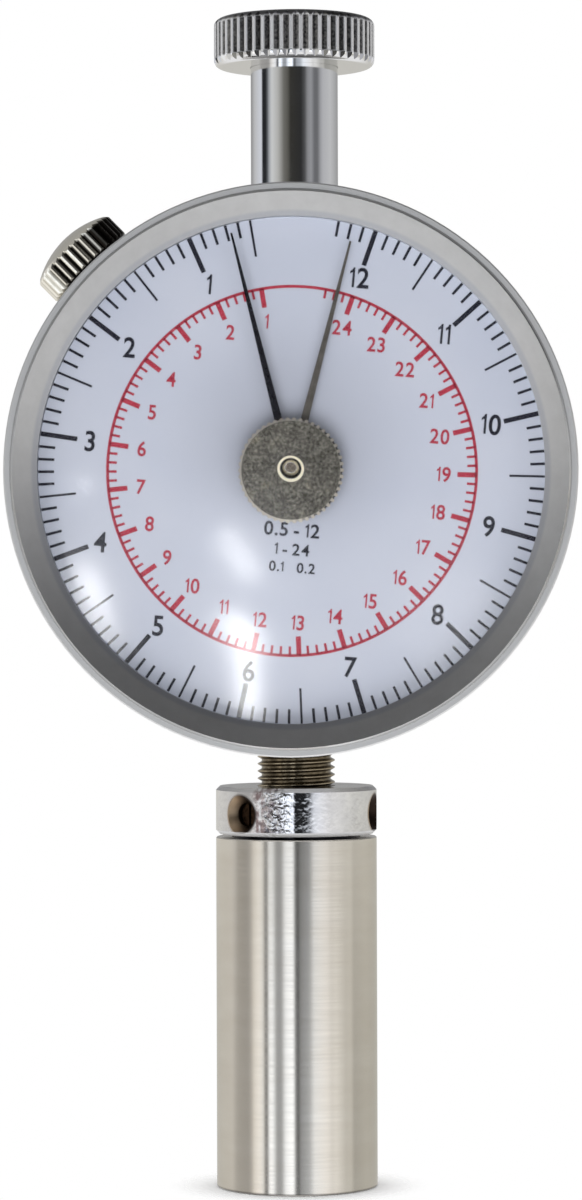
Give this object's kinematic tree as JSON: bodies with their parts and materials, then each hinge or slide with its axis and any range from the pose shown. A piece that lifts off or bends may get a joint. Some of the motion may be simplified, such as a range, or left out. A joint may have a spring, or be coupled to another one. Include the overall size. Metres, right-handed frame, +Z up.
{
  "type": "fruit penetrometer",
  "caption": "Hand fruit penetrometer: round dial gauge on a sprung spindle, with a guard cap over the probe below, a ribbed palm knob above and a side reset crown.",
  "frame": {"origin": "centre of the guard cap's flat lower end", "axes": "+Z up along the spindle towards the palm knob, -Y the way the dial faces, +X to the right of someone who reads the dial"},
  "size_m": [0.0576, 0.0288, 0.1205],
  "materials": {
    "stainless": "turned stainless steel, satin",
    "chrome": "bright chrome plating",
    "bezel_metal": "fine turned, satin",
    "case_plating": "satin nickel plating",
    "crown_nickel": "warm nickel plating, ribbed",
    "crystal": "clear domed window",
    "dial_paint": "matt pale blue-grey paint",
    "spacer": "matt blue-grey",
    "needle_black": "black lacquer",
    "needle_grey": "bare steel",
    "boss_nickel": "worn nickel, fine toothed edge",
    "spindle_steel": "oiled threaded steel",
    "screw_brown": "browned steel",
    "small_steel": "turned steel",
    "spring_steel": "blued spring steel",
    "movement_brass": "turned brass",
    "roller_rubber": "black rubber"
  },
  "bodies": {
    "housing": {"case": "case_plating", "back_cover": "case_plating", "back_cover_screws": "small_steel", "front_plate": "movement_brass", "front_plate_screws": "small_steel", "rear_bridge": "movement_brass", "bridge_pillars": "movement_brass", "bridge_screws": "small_steel", "centre_cock": "movement_brass", "cock_screws": "small_steel", "centre_bush": "movement_brass", "hairspring": "spring_steel", "hairspring_stud": "movement_brass", "lower_bush": "movement_brass", "upper_bush": "movement_brass", "spring_tube": "chrome", "main_spring": "spring_steel", "reset_bush": "movement_brass", "spindle_guide": "movement_brass", "guide_screws": "small_steel", "bezel_snap_ring": "spring_steel"},
    "bezel_group": {"bezel": "bezel_metal", "crystal": "crystal", "spacer_ring": "spacer", "dial_plate": "dial_paint", "dial_retaining_ring": "spacer"},
    "spindle_group": {"spindle": "spindle_steel", "ring_nut": "chrome", "ring_nut_set_screws": "screw_brown", "probe": "stainless", "guide_pin": "small_steel", "spindle_stop_ring": "spring_steel"},
    "transfer_group": {"rack_pinion": "small_steel", "transfer_wheel": "movement_brass"},
    "live_group": {"centre_arbor": "small_steel", "hairspring_collet": "movement_brass", "live_pointer": "needle_black", "pointer_boss": "boss_nickel", "boss_ring": "movement_brass"},
    "peak_group": {"peak_tube": "small_steel", "peak_disc": "movement_brass", "peak_pointer": "needle_grey"},
    "reset_group": {"reset_crown": "crown_nickel", "reset_shaft": "small_steel", "friction_roller": "roller_rubber", "reset_clip": "spring_steel"},
    "cap_group": {"guard_cap": "stainless"},
    "end_cap_group": {"end_cap": "chrome"}
  },
  "joints": [
    {"name": "spindle_press", "type": "slide", "parent": "housing", "child": "spindle_group", "axis": [0, 0, 1], "range_m": [0, 0.0028], "stiffness_N_per_m": 42000, "springref_m": -0.0002, "deforming": ["main_spring"]},
    {"name": "transfer_turn", "type": "hinge", "parent": "housing", "child": "transfer_group", "pos_m": [0.0045, 0, 0.06368], "axis": [0, 1, 0], "range_deg": [-1, 68]},
    {"name": "live_turn", "type": "hinge", "parent": "housing", "child": "live_group", "pos_m": [0, 0, 0.0735], "axis": [0, 1, 0], "range_deg": [-335, 1]},
    {"name": "reset_turn", "type": "hinge", "parent": "housing", "child": "reset_group", "pos_m": [0, -0.00478, 0.0735], "axis": [-0.7009, 0, 0.7133], "range_deg": [-8, 650]},
    {"name": "peak_turn", "type": "hinge", "parent": "housing", "child": "peak_group", "pos_m": [0, 0, 0.0735], "axis": [0, 1, 0], "range_deg": [-5, 326]},
    {"name": "bezel_turn", "type": "hinge", "parent": "housing", "child": "bezel_group", "pos_m": [0, 0, 0.0735], "axis": [0, 1, 0], "continuous": true},
    {"name": "end_cap_turn", "type": "hinge", "parent": "housing", "child": "end_cap_group", "pos_m": [0, 0, 0.1179], "axis": [0, 0, 1], "continuous": true},
    {"name": "cap_pull", "type": "slide", "parent": "spindle_group", "child": "cap_group", "axis": [0, 0, -1], "range_m": [0, 0.04]}
  ],
  "couplings": [
    {"joint": "transfer_turn", "follows": "spindle_press", "rad_per_m": 416.67},
    {"joint": "live_turn", "follows": "spindle_press", "rad_per_m": -2083.3},
    {"joint": "peak_turn", "follows": "reset_turn", "ratio": 0.5}
  ]
}
